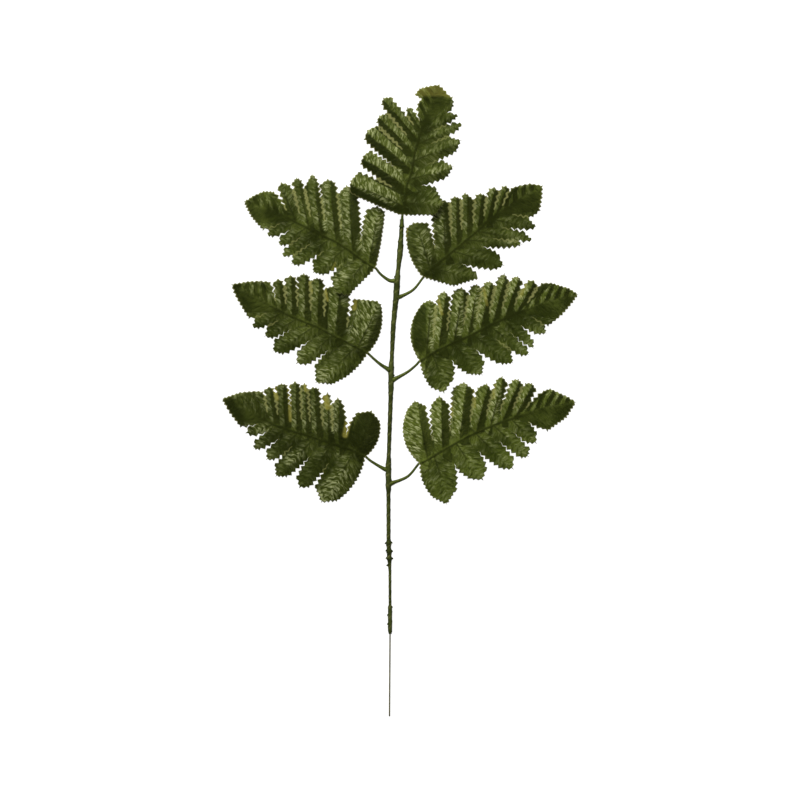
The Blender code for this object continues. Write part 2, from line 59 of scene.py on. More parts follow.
# Leaves
# base height, tilt and belly are in millimetres or slopes; depth darkens the whole leaf as painted shade, leaf by
# leaf, and the flank tone sets how strong its painted sheen is
# high faces the frond's tip and low its foot, both from the leaf's base outwards
# a lobe is (tip x, tip y, width, how far its shoulders lie behind the tip, lean of the tip to the leaf's end)
# strips are (x, y, x, y, radius): pale where the cloth's lighter back colour shows on a turned flank,
# lit with painted light where the cloth has bulged into the light, and shaded with painted shade where it has
# bulged away
leafShapes = {
    "terminal": {
        "baseHeight": 10.6, "tilt": 0.0, "stalk": [(1.6, 152.5), (1.8, 157.0)],
        "midrib": [(2, 162), (4, 174), (5, 188), (10, 202), (12, 216), (16, 230), (21, 247), (30, 266), (35, 280)],
        "high": [(-44, 193, 20, 3, 0), (-33, 215, 15, 2, 0), (-29, 238, 17, 3, 0), (-18.5, 251, 12.5, 2, 0),
                 (-15, 267, 11, 3, 0), (6, 259, 5, 2, 0)],
        "low": [(39, 174, 24, 3, 0), (48, 206, 15, 5, 0), (55, 229.5, 16, 6, 0), (56.5, 245, 10.5, 5, 0),
                (53, 252.5, 8, 4, 0)],
        "highEnd": [(15, 262), (19, 267), (13, 271), (17, 276), (23, 278)],
        "lowEnd": [(48, 260), (48, 264), (47, 269), (44, 270), (41, 274)],
        "bellies": (1.0, 0.0), "sheenStrength": 0.8, "lowPleat": 0.7, "lastSlit": 0.8, "slits": (0.9, 1.9),
        "lit": [(-38, 192, -6, 175, 6), (-28, 214, -2, 201, 5), (44, 208, 30, 201, 4)],
        "pale": [(14, 274, 38, 274.5, 7), (36, 273, 43, 270.5, 4)], "paleStrength": 0.2, "depth": 0.68,
    },
    "upper_left": {
        "baseHeight": 7.2, "tilt": 0.085, "stalk": [(-2.6, 105.2), (-9.5, 105.7), (-16.8, 110.9)],
        "midrib": [(-21, 116), (-32, 123), (-44, 132), (-56, 140), (-75, 149), (-102, 163), (-139, 176)],
        "high": [(-20, 172, 16, 4, 0), (-47.5, 190.5, 18, 7, 0), (-64, 196, 15, 4, 0), (-78, 201, 12.5, 8, -0.3),
                 (-92, 197.5, 9, 3.5, 0), (-105.5, 193, 11, 4, 0.3)],
        "low": [(-57.5, 94, 22, 3, 0), (-77, 112, 15.5, 3, 0), (-96.5, 119.5, 11, 3, 0), (-105, 126, 9, 4, 0),
                (-108, 136.5, 9, 3, 0), (-118.5, 145, 8, 3, 0)],
        "highEnd": [(-111.5, 185), (-121, 185.6), (-131, 181)],
        "lowEnd": [(-121.5, 149.5), (-132.5, 162), (-137, 170.5)],
        "bellies": (1.0, 0.0), "sheenStrength": 0.85, "lowPleat": 0.4, "slits": (0.5, 1.0),
        "lit": [(-22, 163, -31, 136, 10), (-50, 184, -48, 146, 6), (-66, 190, -65, 152, 4),
                (-51, 110, -58, 104, 7)],
        "pale": [(-60, 114, -57, 121, 1.2)], "paleStrength": 0.3, "depth": 0.7,
    },
    "upper_right": {
        "baseHeight": 7.2, "tilt": 0.085, "stalk": [(-3.3, 91.0), (0.6, 91.4), (11.8, 97.5)],
        "midrib": [(20, 107.6), (26, 115), (43, 129), (63.5, 146), (79, 159.5), (94, 170), (108, 178.5),
                   (127, 190.3)],
        "high": [(11.5, 157, 19, 3, -0.2), (36, 178, 17, 3, 0), (48.6, 180.5, 11, 2, 0), (57.5, 184, 12, 5, -0.4),
                 (71.5, 183, 11, 1.5, 0), (83.5, 188.5, 10, 2, 0), (94, 190, 7.5, 1.5, 0)],
        "low": [(71, 107, 15, 10, 0.7), (92.5, 118.5, 11.5, 4, 0), (108, 137.5, 4, 1, 0),
                (118.5, 141, 8, 5, -0.4), (122, 152.5, 10, 5, -0.4)],
        "highEnd": [(98, 188), (106, 190.5), (115, 192.3)],
        "lowEnd": [(118, 161.5), (124.5, 167.5), (126.5, 179)],
        "bellies": (5.0, 0.0), "sheenStrength": 0.55, "lowPleat": 0.35, "slits": (0.35, 1.0),
        "lit": [(20, 145, 22, 120, 8), (34, 172, 38, 142, 5), (30, 167, 33, 150, 5), (95, 140, 108, 142, 3)],
        "pale": [(6, 155, 4, 138, 1.8)], "paleStrength": 0.5, "depth": 0.58,
    },
    "middle_left": {
        "baseHeight": 6.6, "tilt": 0.085, "stalk": [(-7.7, 25.6), (-17.1, 31.4), (-24.0, 37.2)],
        "midrib": [(-28, 41), (-39, 47.5), (-56, 56), (-73, 65), (-98, 75), (-124, 89), (-150, 103)],
        "high": [(-20, 88, 24, 4, -0.6), (-55, 102, 21, 3, 0), (-73.5, 108.5, 12, 2, 0), (-85, 112.5, 12, 3, 0),
                 (-97, 110.5, 10, 2, 0), (-108, 107.5, 9, 2.5, 0)],
        "low": [(-75, 14.5, 22, 6, 0), (-92, 31.5, 13, 4, 0), (-113, 42.5, 15, 4, 0), (-120.5, 55.5, 11, 4, 0),
                (-132, 64, 9, 4, 0)],
        "highEnd": [(-114.5, 105), (-123, 106), (-135, 105.5)],
        "lowEnd": [(-134, 71.5), (-142, 84), (-148, 95)],
        "bellies": (6.0, 4.0), "sheenStrength": 0.75, "lowPleat": 0.4, "slits": (0.35, 1.0),
        "lit": [(-28, 82, -39, 54, 13), (-60, 64, -60, 60, 5), (-49, 98, -48, 86, 5), (-64, 24, -70, 20, 9),
                (-85, 42, -92, 38, 5)],
        "pale": [(-39.5, 90, -40.5, 81, 2.6), (-66, 98, -64, 88, 1.3), (-80, 104, -78, 96, 1.1)],
        "paleStrength": 0.45, "depth": 0.64,
    },
    "middle_right": {
        "baseHeight": 6.6, "tilt": 0.085, "stalk": [(-7.9, 16.8), (6.0, 24.3), (13.5, 30.2)],
        "midrib": [(17, 34), (27.5, 41), (40, 48), (57, 55), (71, 62), (83, 68), (101, 76.5), (128, 86),
                   (159, 93.5)],
        "high": [(26.5, 89, 12, 3, 0), (39, 97, 12, 5, 0), (54.5, 100, 14, 4, 0), (68, 103, 11, 3, 0),
                 (79.5, 105.5, 11, 2.5, 0), (92.5, 112.5, 10.5, 5, 0), (104.5, 110, 10, 3, 0),
                 (118.5, 106, 10, 2, 0)],
        "low": [(39, 5.3, 20, 5, 0), (73, 21.5, 14, 4, 0), (100.5, 32, 14, 5, 0), (114.5, 39.5, 11, 3, 0),
                (118.5, 44.8, 8, 3, 0), (130, 58.5, 9, 3, 0)],
        "highEnd": [(125, 104), (134, 104.3), (150, 99.5)],
        "lowEnd": [(131, 64.5), (144, 75), (153.5, 86)],
        "bellies": (10.0, 2.0), "sheenStrength": 1.0, "lowPleat": 0.4, "slits": (0.35, 1.4),
        "lit": [(32, 84, 29, 48, 6), (52, 95, 52, 60, 5), (70, 97, 68, 66, 4)], "shaded": [(17, 80, 18, 48, 9)],
        "pale": [(33, 92, 37, 76, 1.8), (74, 99, 77, 84, 1.6), (111, 103, 107, 92, 1.6)],
        "paleStrength": 0.38, "depth": 0.86,
    },
    "lower_left": {
        "baseHeight": 6.2, "tilt": 0.085, "stalk": [(-10.0, -61.5), (-14.0, -61.0), (-25.0, -54.5)],
        "midrib": [(-30, -50.4), (-44, -43), (-62, -37.7), (-77, -32.4), (-89, -29), (-110, -22), (-133, -10),
                   (-159, 1.3)],
        "high": [(-25, -9, 21, 6, 0), (-55, 2.4, 10, 4, -0.3), (-64, 7, 8, 3, 0), (-77, 12, 11, 2, 0),
                 (-84.5, 15.5, 7, 2, 0), (-93, 17, 9, 3, 0), (-105, 15, 11, 2, 0), (-116, 12, 9, 2, 0)],
        "low": [(-70, -91, 23, 5, 0), (-89, -78, 14, 3, 0), (-110, -68, 15, 4, 0), (-118.5, -53, 11, 3, 0),
                (-130.5, -43.5, 9, 3, 0), (-137, -29.5, 8, 2, 0)],
        "highEnd": [(-121, 8), (-129.5, 8.3), (-142, 7.2)],
        "lowEnd": [(-141.5, -24.5), (-151.5, -12), (-156, -4)],
        "bellies": (5.0, 5.0), "sheenStrength": 0.7, "lowPleat": 0.4, "slits": (0.35, 0.9),
        "lit": [(-66, -84, -52, -68, 11), (-97, -52, -90, -48, 7), (-124, -28, -118, -24, 6),
                (-61, 0, -58, -26, 4.5)],
        "shaded": [(-30, -15, -37, -35, 11)],
        "pale": [(-67, 6, -64, -6, 3.6), (-84, 17, -83, 9, 2.6), (-98.5, 16, -97, -18, 1.6),
                 (-112, 13, -109, 1, 2.2), (-46, -19, -48.5, -31, 3.2)],
        "paleStrength": 0.55, "depth": 0.52,
    },
    "lower_right": {
        "baseHeight": 6.2, "tilt": 0.085, "stalk": [(-10.2, -75.0), (-6.0, -73.2), (7.0, -67.5)],
        "midrib": [(16.6, -56.3), (26.5, -51), (39, -43.3), (58, -32.7), (73.5, -25.6), (89, -19.4), (110, -12.4),
                   (132.5, -6.2), (157, -1.8)],
        "high": [(13, 0, 16, 6, 0), (34.5, 4.4, 16, 8, 0), (56.5, 16.4, 19, 6, 0), (77, 15.3, 15, 6, 0),
                 (90.5, 21.7, 12, 5, 0), (105, 19, 11, 3, 0), (117, 15.5, 11, 3, 0)],
        "low": [(41.5, -93, 21, 6, 0), (73.5, -71, 14, 3, 0), (100.5, -61.5, 13, 4, 0), (114, -50.5, 11, 2, 0),
                (121, -39, 12, 4, 0)],
        "highEnd": [(127, 8.5), (133, 10.6), (150, 2.8)],
        "lowEnd": [(126, -26), (130.5, -28.3), (148, -16)],
        "bellies": (9.0, 3.5), "sheenStrength": 1.0, "lowPleat": 0.35, "slits": (0.35, 1.5),
        "lit": [(9, -10, 13, -44, 8), (30, -8, 34, -38, 5), (49, 8, 50, -28, 6), (86, 12, 83, -18, 5)],
        "shaded": [(21.5, -12, 22.5, -42, 3.5)],
        "pale": [(45, 4, 46, -14, 1.8), (66, 12, 66, -6, 1.6), (84, 14, 83, 2, 1.4)],
        "paleStrength": 0.38, "depth": 1.0,
    },
}

blade = {
    "thickness": 0.38,
    "spacing": 0.95,                 # between points inside a blade
    "reach": 0.66, "rootGap": 2.0,   # how far up the midrib lobes are rooted, and the room between two
    "slitDepths": (0.3, 0.42),       # for the high and the low row, as the next one is
    "pointed": (0.0, 0.16),
    "lightFrom": (-0.35, 0.94), "offMiddle": 0.12,
    "endPleat": 1.7, "endPitch": 9.0, "endSlant": 0.75,
    "toothPitch": 5.0, "toothDepth": 2.4,
    "marginPitch": 3.7, "marginDepth": (1.0, 1.5), "unevenTeeth": 0.4,
    "pleat": 4.6, "pleatStart": 15.0, "fullWidth": 7.0, "widthLimits": (0.35, 1.15), "flatEnd": 0.12,
    "outerDrop": 0.3, "outerFrom": 25, "outerOver": 30,    # pleats lose height far from the midrib
    # the flanks' painted light and shade: its contrast, how weak it is on the low row and at the leaf's end, its
    # value in lit and shaded strips; and how much less the low row's cut edge is painted bright
    "flankContrast": 3.5, "lowFlank": 0.15, "lowEndFlank": 0.2, "lowRowEdgeHighlight": 0.45,
    "litFlank": 0.9, "shadedFlank": -0.8,
    "arch": 1.6, "tipHeight": 0.75,
    "veinPitch": 2.9, "veinSlant": 0.6, "veinHeight": 0.10, "veinShift": 2.1,
    "veinFades": (2.0, 1.6, 4.0),    # from the crest, the outline's folds and the midrib
    "ribRise": 0.9, "ribWidth": 0.95, "ribEnd": 0.86, "creaseStep": 0.9, "creaseOffsets": (1.0, 2.1),
    # the dark lines along the crests and beside the midrib are painted shade, partly print
    "crestWidth": 0.7, "crestDark": 0.9, "crestSpan": (0.12, 0.97), "crestEnds": (0.85, 0.55), "crestFade": 0.3,
    "midribAside": 0.7, "midribEnd": 0.97, "midribFade": 0.4,
    "rimGap": 0.45, "creaseGap": 0.4,    # room left round lattice points, in spacings
    "buckle": 0.45, "buckleSize": 22, "buckleStart": 15,
    "floorGap": 0.1, "floorVein": 0.15,
}


# Lines in plan
def smoothStep(value):
    value = np.clip(value, 0.0, 1.0)
    return value * value * (3.0 - 2.0 * value)


def runLengths(points):
    travelled = [0.0]
    for first, second in zip(points, points[1:]):
        travelled.append(travelled[-1] + (second - first).length)
    return travelled


def pointAt(points, fraction):
    travelled = runLengths(points)
    wanted = fraction * travelled[-1]
    for index in range(len(points) - 1):
        if wanted <= travelled[index + 1] or index == len(points) - 2:
            part = (wanted - travelled[index]) / (travelled[index + 1] - travelled[index])
            return points[index].lerp(points[index + 1], part)


def bezierLine(start, handle, end, steps=14):
    return [start * (1 - t) ** 2 + handle * (2 * t * (1 - t)) + end * t ** 2
            for t in (step / steps for step in range(steps + 1))]


def pinkedLine(line, pitch, depth, inward, bothWays):
    # a zigzag cut along the line, with its teeth a little uneven
    count = max(1, round(runLengths(line)[-1] / pitch))
    cut = [line[0]]
    for step in range(1, 2 * count):
        here = pointAt(line, step / (2 * count))
        uneven = 1.0 + blade["unevenTeeth"] * noise.noise(Vector((here.x * 0.4, here.y * 0.4, 3.0)))
        if bothWays:
            swing = 0.5 * depth * uneven * (1 if step % 2 else -1) * min(1.0, step / 3)
        else:
            swing = depth * uneven if step % 2 else 0.0
        cut.append(here + inward * swing)
    cut.append(line[-1])
    return cut


def towards(direction, aim):
    return direction if direction.dot(aim) > 0 else -direction


def sideOf(direction):
    return Vector((-direction.y, direction.x))


# Plan of a leaf
def rowPlan(midrib, row, endPoints, belly, slitDepth, lastDepth, slitLeast, pointed, margin):
    onward = midrib[-1] - midrib[0]
    widths = [0.0]
    for item in row:
        widths.append(widths[-1] + item[2] + blade["rootGap"])
    roots = [blade["reach"] * width / widths[-1] for width in widths]
    lobes = []
    for index, (x, y, width, point, lean) in enumerate(row):
        point = point + width * pointed
        root = pointAt(midrib, (roots[index] + roots[index + 1]) / 2)
        tip = Vector((x, y))
        axis = (tip - root).normalized()
        outward = towards(sideOf(axis), onward)
        half = width / 2
        lobes.append({
            "root": root, "tip": tip, "outward": outward,
            "far": tip - axis * point * (1 - lean) + outward * half * (1 - lean),
            "near": tip - axis * point * (1 + lean) - outward * half * (1 + lean),
        })
    end = [Vector(point) for point in endPoints]
    for index, item in enumerate(lobes):
        last = index == len(lobes) - 1
        following = end[0] if last else lobes[index + 1]["near"]
        valley = pointAt(midrib, roots[index + 1])
        middle = (item["far"] + following) / 2
        across = towards(sideOf((middle - valley).normalized()), onward)
        lack = slitLeast - (following - item["far"]).dot(across)
        if lack > 0:
            item["far"] = item["far"] - across * lack / 2
            if last:
                end[0] = end[0] + across * lack / 2
            else:
                lobes[index + 1]["near"] = lobes[index + 1]["near"] + across * lack / 2
        sinus = valley + (middle - valley) * (lastDepth if last else slitDepth)
        item.update(valley=valley, sinus=sinus, handle=sinus + (middle - sinus) * 0.5, across=across)
    return {"lobes": lobes, "end": end, "belly": belly, "margin": margin}


def lobeEnd(first, last, inside, depth):
    inward = towards(sideOf((last - first).normalized()), inside - first)
    return pinkedLine([first, last], blade["marginPitch"], depth, inward, False)


def rowOutline(midrib, plan):
    outline, lowLines = [], []
    lobes = plan["lobes"]
    for index, item in enumerate(lobes):
        if index == 0:
            bulge = (midrib[0] + item["near"]) / 2 - item["outward"] * plan["belly"] * 2
            nearFlank = bezierLine(midrib[0], bulge, item["near"])
            nearEdge = pinkedLine(nearFlank, blade["marginPitch"], plan["margin"], item["outward"], False)
        else:
            before = lobes[index - 1]
            nearFlank = bezierLine(before["sinus"], before["handle"], item["near"])
            nearEdge = pinkedLine(nearFlank, blade["toothPitch"], blade["toothDepth"], before["across"], True)
        farFlank = bezierLine(item["sinus"], item["handle"], item["far"])
        farEdge = pinkedLine(farFlank, blade["toothPitch"], blade["toothDepth"], item["across"], True)
        outline += nearEdge[:-1]
        outline += lobeEnd(item["near"], item["tip"], item["root"], plan["margin"])[:-1]
        outline += lobeEnd(item["tip"], item["far"], item["root"], plan["margin"])[:-1]
        outline += reversed(farEdge[1:])
        lowLines += [nearFlank, farFlank, [item["valley"], item["sinus"]]]
    last = lobes[-1]
    flank = bezierLine(last["sinus"], last["handle"], plan["end"][0])
    outline += pinkedLine(flank, blade["toothPitch"], blade["toothDepth"], last["across"], True)[:-1]
    margin = plan["end"] + [midrib[-1]]
    inside = pointAt(midrib, blade["reach"])
    for first, second in zip(margin, margin[1:]):
        outline += lobeEnd(first, second, inside, plan["margin"])[:-1]
    lowLines.append(flank + margin[1:])
    return outline, lowLines


def leafPlan(shape):
    midrib = [Vector(point) for point in shape["midrib"]]
    rows = []
    for side, key in enumerate(("high", "low")):
        depth = blade["slitDepths"][side]
        lastDepth = shape.get("lastSlit", depth) if key == "low" else depth
        rows.append(rowPlan(midrib, shape[key], shape[key + "End"], shape["bellies"][side], depth, lastDepth,
                            shape["slits"][side], blade["pointed"][side], blade["marginDepth"][side]))
    highOutline, highLines = rowOutline(midrib, rows[0])
    lowOutline, lowLines = rowOutline(midrib, rows[1])
    # the press folds the lobes a little off their middle, away from the light
    lightFrom = Vector(blade["lightFrom"])
    crests = []
    for row, shapes in zip(rows, (shape["high"], shape["low"])):
        for item, lobeShape in zip(row["lobes"], shapes):
            aside = -towards(item["outward"], lightFrom) * lobeShape[2] * blade["offMiddle"]
            crests.append([item["root"] + aside * 0.4, item["tip"] + aside])
    highCount = len(rows[0]["lobes"])
    return {
        "midrib": midrib, "outline": highOutline + [midrib[-1]] + list(reversed(lowOutline[1:])),
        "lowLines": highLines + lowLines, "crests": crests, "highCount": highCount,
        "endCrest": [pointAt(midrib, blade["reach"]), pointAt(midrib, 0.84), midrib[-1]],
        "footTip": rows[1]["lobes"][0]["tip"],
    }


# Heights over a leaf
def measure(points, line):
    # distance to a polyline, distance travelled along it, and the side, for many points at once
    line = np.array([[point.x, point.y] for point in line])
    best = np.full(len(points), np.inf)
    along = np.zeros(len(points))
    side = np.zeros(len(points))
    travelled = 0.0
    for first, second in zip(line, line[1:]):
        run = second - first
        length = np.hypot(*run)
        away = points - first
        part = np.clip(away @ run / length ** 2, 0, 1)
        distance = np.hypot(*(away - part[:, None] * run).T)
        closer = distance < best
        best[closer] = distance[closer]
        along[closer] = travelled + part[closer] * length
        side[closer] = np.sign(run[0] * away[closer, 1] - run[1] * away[closer, 0])
        travelled += length
    return best, along, side, travelled


def stripsOf(points, strips):
    strength = np.zeros(len(points))
    for x0, y0, x1, y1, radius in strips:
        distance = measure(points, [Vector((x0, y0)), Vector((x1, y1))])[0]
        strength = np.maximum(strength, smoothStep((radius - distance) / (0.5 * radius)))
    return strength


def bladeSurface(points, shape, plan):
    away, along, side, length = measure(points, plan["midrib"])
    footSide = measure(np.array([plan["footTip"][:]]), plan["midrib"])[2][0]
    along = along / length
    toFoot = away * side * footSide
    base = blade["tipHeight"] + (shape["baseHeight"] - blade["tipHeight"]) * (1 - along ** blade["arch"])
    base = base + shape["tilt"] * toFoot

    # which crest is nearest to each point, and how the point lies to it
    crestDistance = np.full(len(points), np.inf)
    crestAlong, crestSide, lobeIndex = np.zeros((3, len(points)))
    crestPart, highRow, pleat = np.ones((3, len(points)))
    downhill = np.zeros((len(points), 2))
    for index, crest in enumerate(plan["crests"] + [plan["endCrest"]]):
        distance, travelled, sign, _ = measure(points, crest)
        closer = distance < crestDistance
        crestDistance[closer] = distance[closer]
        crestAlong[closer] = travelled[closer]
        crestSide[closer] = sign[closer]
        lobeIndex[closer] = index
        run = (crest[-1] - crest[0]).normalized()
        downhill[closer] = np.outer(sign[closer], sideOf(run))
        crestPart[closer] = travelled[closer] / runLengths(crest)[-1]
        highRow[closer] = 1.0 if index < plan["highCount"] or index == len(plan["crests"]) else 0.0
        strength = 1.0 if index < plan["highCount"] else shape["lowPleat"]
        pleat[closer] = blade["flatEnd"] if index == len(plan["crests"]) else strength
    low = np.full(len(points), np.inf)
    for line in plan["lowLines"]:
        low = np.minimum(low, measure(points, line)[0])

    crest = low / np.maximum(low + crestDistance, 1e-6)
    wide = np.clip((low + crestDistance) / blade["fullWidth"], *blade["widthLimits"])
    rise = blade["pleat"] * pleat * crest * wide
    outer = smoothStep((away - blade["outerFrom"]) / blade["outerOver"])
    rise = rise * np.minimum(away / blade["pleatStart"], 1.0) * (1 - blade["outerDrop"] * outer)
    # beyond the last slit the blade is only pleated, on the side of the frond's tip
    isEnd = lobeIndex == len(plan["crests"])
    band = ((along * length - blade["endSlant"] * away) / blade["endPitch"]) % 1.0
    highSide = toFoot < 0
    endRise = blade["endPleat"] * (1 - np.abs(2 * band - 1)) * smoothStep(away / 7) * smoothStep(low / 3)
    rise = np.where(isEnd & highSide, rise + endRise, rise)
    onward = (plan["midrib"][-1] - plan["midrib"][0]).normalized()
    outward = towards(sideOf(onward), plan["crests"][0][1] - plan["midrib"][0])
    acrossBand = (onward - outward * blade["endSlant"]).normalized()
    downhill[isEnd & highSide] = np.outer(np.where(band < 0.5, -1.0, 1.0), acrossBand)[isEnd & highSide]
    downhill[isEnd & ~highSide] *= blade["lowEndFlank"]
    # painted light and shade: a flank that faces the light is marked to be painted lighter, one that faces away
    # darker
    flank = downhill @ np.array(blade["lightFrom"]) / np.hypot(*blade["lightFrom"])
    flank = np.tanh(blade["flankContrast"] * flank) * np.where(highRow > 0, 1.0, blade["lowFlank"])
    flank = flank * smoothStep(away / 2.0)
    # lit and shaded strips set painted light and painted shade outright
    shaded = stripsOf(points, shape.get("shaded", []))
    lit = stripsOf(points, shape["lit"])
    flank = flank + (blade["shadedFlank"] - flank) * shaded
    flank = flank + (blade["litFlank"] - flank) * lit
    # dark lines along the crests and beside the midrib, on its foot side: painted shade, partly print
    crestEnd = np.where(highRow > 0, *blade["crestEnds"])
    crestFade = smoothStep((crestEnd - crestPart) / blade["crestFade"])
    crestLine = np.exp(-(crestDistance / blade["crestWidth"]) ** 2) * crestFade
    crestLine = np.where(isEnd, 0.0, crestLine) * smoothStep(away / 1.5)
    midribFade = smoothStep((blade["midribEnd"] - along) / blade["midribFade"])
    midribLine = np.exp(-((toFoot - blade["midribAside"]) / blade["ribWidth"]) ** 2) * midribFade

    phase = crestAlong - blade["veinSlant"] * crestDistance + blade["veinShift"] * lobeIndex
    vein = np.sin(phase * 2 * math.pi / blade["veinPitch"])
    veinFade = 1.0
    for distance, reach in zip((crestDistance, low, away), blade["veinFades"]):
        veinFade = veinFade * smoothStep(distance / reach)
    ribFade = smoothStep((blade["ribEnd"] - along) / blade["ribEnd"])
    rib = blade["ribRise"] * np.exp(-(away / blade["ribWidth"]) ** 2) * ribFade
    buckle = np.array([noise.noise(Vector((x / blade["buckleSize"], y / blade["buckleSize"], shape["baseHeight"])))
                       for x, y in points])
    height = base + rise + blade["veinHeight"] * vein * veinFade + rib
    height = height + blade["buckle"] * buckle * smoothStep(away / blade["buckleStart"])
    floorGap = blade["thickness"] + blade["floorGap"]
    height = np.where(height < floorGap, floorGap + blade["floorVein"] * (1 + vein) * 0.5, height)
    return {
        "height": height, "vein": vein * veinFade,
        "fromMidrib": away, "across": crestDistance * crestSide, "along": phase,
        "rib": np.maximum(midribLine, blade["crestDark"] * crestLine),
        "flank": flank, "lit": lit,
        "pale": stripsOf(points, shape["pale"]) * shape["paleStrength"],
        # the cut edge's painted highlight shows less on the foot's side
        "edge": measure(points, plan["outline"] + [plan["outline"][0]])[0] + blade["lowRowEdgeHighlight"] * (1 - highRow),
    }


def evenly(line, step):
    count = max(2, round(runLengths(line)[-1] / step))
    return [pointAt(line, index / count) for index in range(count + 1)]


def creaseLines(plan):
    # the lines that the press folds sharply: the midrib with a line on each side, and every lobe's crest
    midrib = evenly([pointAt(plan["midrib"], step / 40) for step in range(1, 38)], blade["creaseStep"])
    lines = [midrib]
    for offset in blade["creaseOffsets"]:
        for hand in (1, -1):
            side = []
            for before, here, after in zip(midrib, midrib[1:], midrib[2:]):
                side.append(here + sideOf((after - before).normalized()) * hand * offset)
            lines.append(side[:round(len(side) * blade["ribEnd"])])
    for root, tip in plan["crests"]:
        lines.append(evenly([root.lerp(tip, part) for part in blade["crestSpan"]], blade["creaseStep"]))
    return lines


def insideOf(points, outline):
    inside = np.zeros(len(points), dtype=bool)
    for first, second in zip(outline, outline[1:] + outline[:1]):
        if first.y != second.y:
            crosses = (first.y > points[:, 1]) != (second.y > points[:, 1])
            at = first.x + (points[:, 1] - first.y) * (second.x - first.x) / (second.y - first.y)
            inside ^= crosses & (points[:, 0] < at)
    return inside


def dropCrumbs(bm):
    # the teeth can cut a crumb loose, so only the largest island of faces stays
    left = set(bm.faces)
    islands = []
    while left:
        island = [left.pop()]
        for face in island:
            for neighbour in {other for edge in face.edges for other in edge.link_faces} & left:
                left.discard(neighbour)
                island.append(neighbour)
        islands.append(island)
    islands.sort(key=len)
    bmesh.ops.delete(bm, geom=[face for island in islands[:-1] for face in island], context="FACES")


def leafMesh(name, shape, plan):
    # the pinked outline and a lattice of points inside it, joined by triangles in plan and then lifted
    outline = plan["outline"]
    xs = [point.x for point in outline]
    ys = [point.y for point in outline]
    centre = Vector(((min(xs) + max(xs)) / 2, (min(ys) + max(ys)) / 2, 0))
    size = max(max(xs) - min(xs), max(ys) - min(ys)) + 2
    lattice = bmesh.new()
    steps = round(size / blade["spacing"])
    bmesh.ops.create_grid(lattice, x_segments=steps, y_segments=steps, size=size / 2)
    bmesh.ops.translate(lattice, verts=lattice.verts[:], vec=centre)
    inner = np.array([(vert.co.x, vert.co.y) for vert in lattice.verts])
    lattice.free()
    rim = outline + [outline[0]]
    inner = inner[measure(inner, rim)[0] > blade["rimGap"] * blade["spacing"]]
    corners = list(outline)
    ring = [(index, (index + 1) % len(outline)) for index in range(len(outline))]
    room = blade["creaseGap"] * blade["spacing"]
    for crease in creaseLines(plan):
        places = np.array([[point.x, point.y] for point in crease])
        within = insideOf(places, outline) & (measure(places, rim)[0] > room)
        for index in np.flatnonzero(within):
            corners.append(crease[index])
            if index and within[index - 1]:
                ring.append((len(corners) - 2, len(corners) - 1))
        inner = inner[measure(inner, crease)[0] > room]
    corners += [Vector(point) for point in inner]
    flat = delaunay_2d_cdt(corners, ring, [], 1, 0.01)
    points = np.array([(point.x, point.y) for point in flat[0]])
    surface = bladeSurface(points, shape, plan)

    bm = bmesh.new()
    attributes = ("vein", "fromMidrib", "rib", "pale", "edge", "flank", "lit")
    for key in attributes:
        bm.verts.layers.float.new(key)
    uvLayer = bm.loops.layers.uv.new("lobeUv")
    verts = [bm.verts.new((x * mm, y * mm, z * mm)) for (x, y), z in zip(points, surface["height"])]
    for face in flat[2]:
        bm.faces.new([verts[corner] for corner in face])
    for key in attributes:
        layer = bm.verts.layers.float[key]
        for vert, value in zip(verts, surface[key]):
            vert[layer] = float(value)
    bm.verts.index_update()
    for face in bm.faces:
        for loop in face.loops:
            spot = loop.vert.index
            loop[uvLayer].uv = (surface["across"][spot] * mm, surface["along"][spot] * mm)
    dropCrumbs(bm)
    bmesh.ops.delete(bm, geom=[vert for vert in bm.verts if not vert.link_faces], context="VERTS")
    bmesh.ops.recalc_face_normals(bm, faces=bm.faces[:])
    if sum(face.normal.z for face in bm.faces) < 0:
        bmesh.ops.reverse_faces(bm, faces=bm.faces[:])
    for face in bm.faces:
        face.smooth = True
    return meshFrom(bm, name)


# Materials
def link(tree, source, target):
    tree.links.new(source, target)


def node(tree, kind, **values):
    made = tree.nodes.new(kind)
    for key, value in values.items():
        setattr(made, key, value)
    return made


def mixColour(tree, factor, first, second):
    mixer = node(tree, "ShaderNodeMix", data_type="RGBA")
    for socket, value in ((mixer.inputs[0], factor), (mixer.inputs[6], first), (mixer.inputs[7], second)):
        if hasattr(value, "links"):
            link(tree, value, socket)
        else:
            socket.default_value = value
    return mixer.outputs[2]


def ramp(tree, source, stops):
    made = node(tree, "ShaderNodeValToRGB")
    for element, (place, value) in zip(made.color_ramp.elements, stops):
        element.position = place
        element.color = (value, value, value, 1)
    link(tree, source, made.inputs[0])
    return made.outputs[0]


def mathOf(tree, operation, first, second):
    made = node(tree, "ShaderNodeMath", operation=operation)
    for socket, value in zip(made.inputs, (first, second)):
        if hasattr(value, "links"):
            link(tree, value, socket)
        else:
            socket.default_value = value
    return made.outputs[0]


def times(tree, first, second):
    return mathOf(tree, "MULTIPLY", first, second)


def newMaterial(name, look):
    material = bpy.data.materials.new(name)
    material.use_nodes = True
    shader = material.node_tree.nodes["Principled BSDF"]
    shader.inputs["Roughness"].default_value = look["roughness"]
    shader.inputs["Specular IOR Level"].default_value = look["specular"]
    shader.inputs["Specular Tint"].default_value = (0.9, 1.0, 0.2, 1)  # dyed all through, so its gloss is green too
    return material, material.node_tree, shader


def attributeOf(tree, name):
    return node(tree, "ShaderNodeAttribute", attribute_name=name).outputs["Fac"]


def objectPlace(tree):
    return node(tree, "ShaderNodeTexCoord").outputs["Object"]


